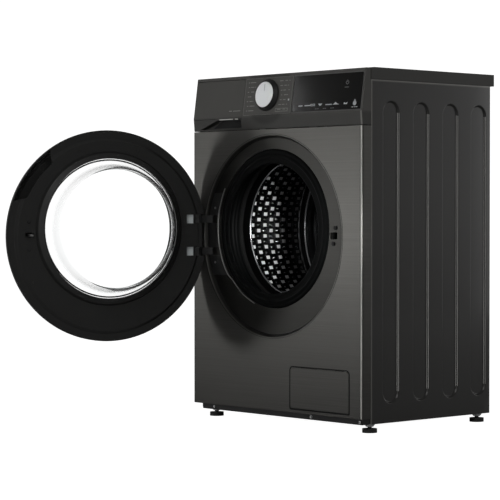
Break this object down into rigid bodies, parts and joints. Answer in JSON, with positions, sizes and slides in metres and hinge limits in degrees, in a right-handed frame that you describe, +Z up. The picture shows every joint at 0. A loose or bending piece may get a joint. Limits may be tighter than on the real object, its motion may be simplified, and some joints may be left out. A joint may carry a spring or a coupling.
{
  "type": "front load washing machine",
  "caption": "Free-standing front load washing machine with a round glass door, suspended tub, perforated drum, leaning control panel, detergent drawer and levelling feet.",
  "frame": {"origin": "on the floor, midway between the centres of the four feet", "axes": "+Z up, -Y out of the front with the door, +Y out of the back with the hose connections, +X to the right as seen from the front"},
  "size_m": [0.7377, 0.9512, 0.85],
  "materials": {
    "side_paint": "satin dark grey paint",
    "galvanised": "galvanised sheet",
    "base_black": "matte black paint",
    "worktop_grey": "fine-grained dark grey laminate",
    "front_brushed": "dark grey coated steel with a fine horizontal brushing",
    "black_plastic": "matte black",
    "hinge_black": "black coated zinc casting",
    "gasket_rubber": "matte dark grey rubber",
    "fascia_grey": "satin dark grey moulding",
    "fascia_print": "satin dark grey with faint grey print",
    "display_black": "gloss black window",
    "circuit_board": "green circuit board",
    "white_plastic": "white moulding",
    "grey_plastic": "grey moulding",
    "grey_rubber": "grey hose",
    "spring_steel": "zinc plated wire",
    "screw_steel": "zinc plated",
    "tub_plastic": "filled polypropylene, light grey",
    "counterweight": "rough grey casting",
    "bearing_steel": "ground steel",
    "motor_aluminium": "wound motor in a cast frame",
    "belt_rubber": "ribbed black belt",
    "drum_steel": "bright stainless steel with embossed diamonds",
    "spider_aluminium": "cast aluminium",
    "door_black": "satin near-black moulding",
    "door_glass": "clear pressed glass",
    "hinge_steel": "bright plated steel",
    "screw_black": "black screws",
    "hook_steel": "plated steel",
    "knob_silver": "satin silver",
    "foot_black": "black rubber on a threaded stud"
  },
  "bodies": {
    "cabinet": {"left_side_panel": "side_paint", "right_side_panel": "side_paint", "rear_panel": "galvanised", "rear_access_cover": "galvanised", "base_pan": "base_black", "worktop": "worktop_grey", "upper_frame": "galvanised", "front_panel": "front_brushed", "hinge_cover": "black_plastic", "hinge_bracket": "hinge_black", "door_lock": "black_plastic", "gasket": "gasket_rubber", "control_panel": "fascia_grey", "program_plate": "fascia_print", "display_window": "display_black", "control_board": "circuit_board", "drawer_housing": "white_plastic", "inlet_valve": "white_plastic", "fill_hose": "grey_rubber", "pump_housing": "white_plastic", "drain_hose": "grey_plastic", "drain_outlet": "black_plastic", "power_gland": "black_plastic", "sump_hose": "gasket_rubber", "suspension_springs": "spring_steel", "damper_cylinders": "grey_plastic", "foot_nuts": "galvanised", "panel_screws": "screw_steel"},
    "tub": {"tub_front": "tub_plastic", "tub_rear": "tub_plastic", "front_counterweight": "counterweight", "top_counterweight": "counterweight", "heater": "screw_steel", "bearings": "bearing_steel", "motor_body": "motor_aluminium", "damper_rods": "grey_plastic", "drive_belt": "belt_rubber"},
    "drum": {"drum_shell": "drum_steel", "drum_back": "drum_steel", "drum_lifters": "grey_plastic", "drum_spider": "spider_aluminium", "drum_shaft": "bearing_steel", "drum_pulley": "spider_aluminium"},
    "motor_rotor": {"motor_rotor": "bearing_steel"},
    "pump_impeller": {"pump_impeller": "white_plastic"},
    "door": {"door_frame": "door_black", "door_inner_frame": "door_black", "door_glass": "door_glass", "door_hinge_plate": "hinge_steel", "door_screws": "screw_black"},
    "door_hook": {"door_hook": "hook_steel"},
    "drawer": {"detergent_drawer": "fascia_grey"},
    "knob": {"knob_skirt": "black_plastic", "knob_face": "knob_silver"},
    "filter_flap": {"filter_flap": "front_brushed"},
    "filter_cap": {"filter_cap": "grey_plastic"},
    "front_left_foot": {"front_left_foot": "foot_black"},
    "front_right_foot": {"front_right_foot": "foot_black"},
    "rear_left_foot": {"rear_left_foot": "foot_black"},
    "rear_right_foot": {"rear_right_foot": "foot_black"}
  },
  "joints": [
    {"name": "door_swing", "type": "hinge", "parent": "cabinet", "child": "door", "pos_m": [-0.258, -0.2515, 0.457], "axis": [0, 0, 1], "range_deg": [-16, 109]},
    {"name": "hook_latch", "type": "hinge", "parent": "door", "child": "door_hook", "pos_m": [-0.40294, -0.67858, 0.4585], "axis": [0, 0, 1], "range_deg": [-5, 0], "stiffness_Nm_per_rad": 0.3, "springref_deg": 8.59},
    {"name": "tub_float", "type": "slide", "parent": "cabinet", "child": "tub", "axis": [0, 0, 1], "range_m": [-0.008, 0.008], "stiffness_N_per_m": 6000, "springref_m": 0.076, "deforming": ["suspension_springs", "gasket", "sump_hose"]},
    {"name": "drum_spin", "type": "hinge", "parent": "tub", "child": "drum", "pos_m": [-0.012, -0.0415, 0.474], "axis": [0, 1, 0], "continuous": true},
    {"name": "motor_spin", "type": "hinge", "parent": "tub", "child": "motor_rotor", "pos_m": [-0.012, 0.1385, 0.13], "axis": [0, 1, 0], "continuous": true},
    {"name": "pump_spin", "type": "hinge", "parent": "cabinet", "child": "pump_impeller", "pos_m": [0.15, -0.1095, 0.095], "axis": [0, 1, 0], "continuous": true},
    {"name": "knob_turn", "type": "hinge", "parent": "cabinet", "child": "knob", "pos_m": [-0.0305, -0.23362, 0.797], "axis": [0, -0.9901, 0.1402], "continuous": true},
    {"name": "drawer_slide", "type": "slide", "parent": "cabinet", "child": "drawer", "axis": [0, -1, 0], "range_m": [0, 0.2]},
    {"name": "flap_turn", "type": "hinge", "parent": "cabinet", "child": "filter_flap", "pos_m": [0.15, -0.2381, 0.05], "axis": [1, 0, 0], "range_deg": [0, 80]},
    {"name": "filter_turn", "type": "hinge", "parent": "cabinet", "child": "filter_cap", "pos_m": [0.15, -0.2315, 0.095], "axis": [0, -1, 0], "range_deg": [0, 90]},
    {"name": "front_left_level", "type": "slide", "parent": "cabinet", "child": "front_left_foot", "axis": [0, 0, 1], "range_m": [-0.01, 0.003]},
    {"name": "front_right_level", "type": "slide", "parent": "cabinet", "child": "front_right_foot", "axis": [0, 0, 1], "range_m": [-0.01, 0.003]},
    {"name": "rear_left_level", "type": "slide", "parent": "cabinet", "child": "rear_left_foot", "axis": [0, 0, 1], "range_m": [-0.01, 0.003]},
    {"name": "rear_right_level", "type": "slide", "parent": "cabinet", "child": "rear_right_foot", "axis": [0, 0, 1], "range_m": [-0.01, 0.003]}
  ],
  "couplings": [
    {"joint": "motor_spin", "follows": "drum_spin", "ratio": 14}
  ]
}
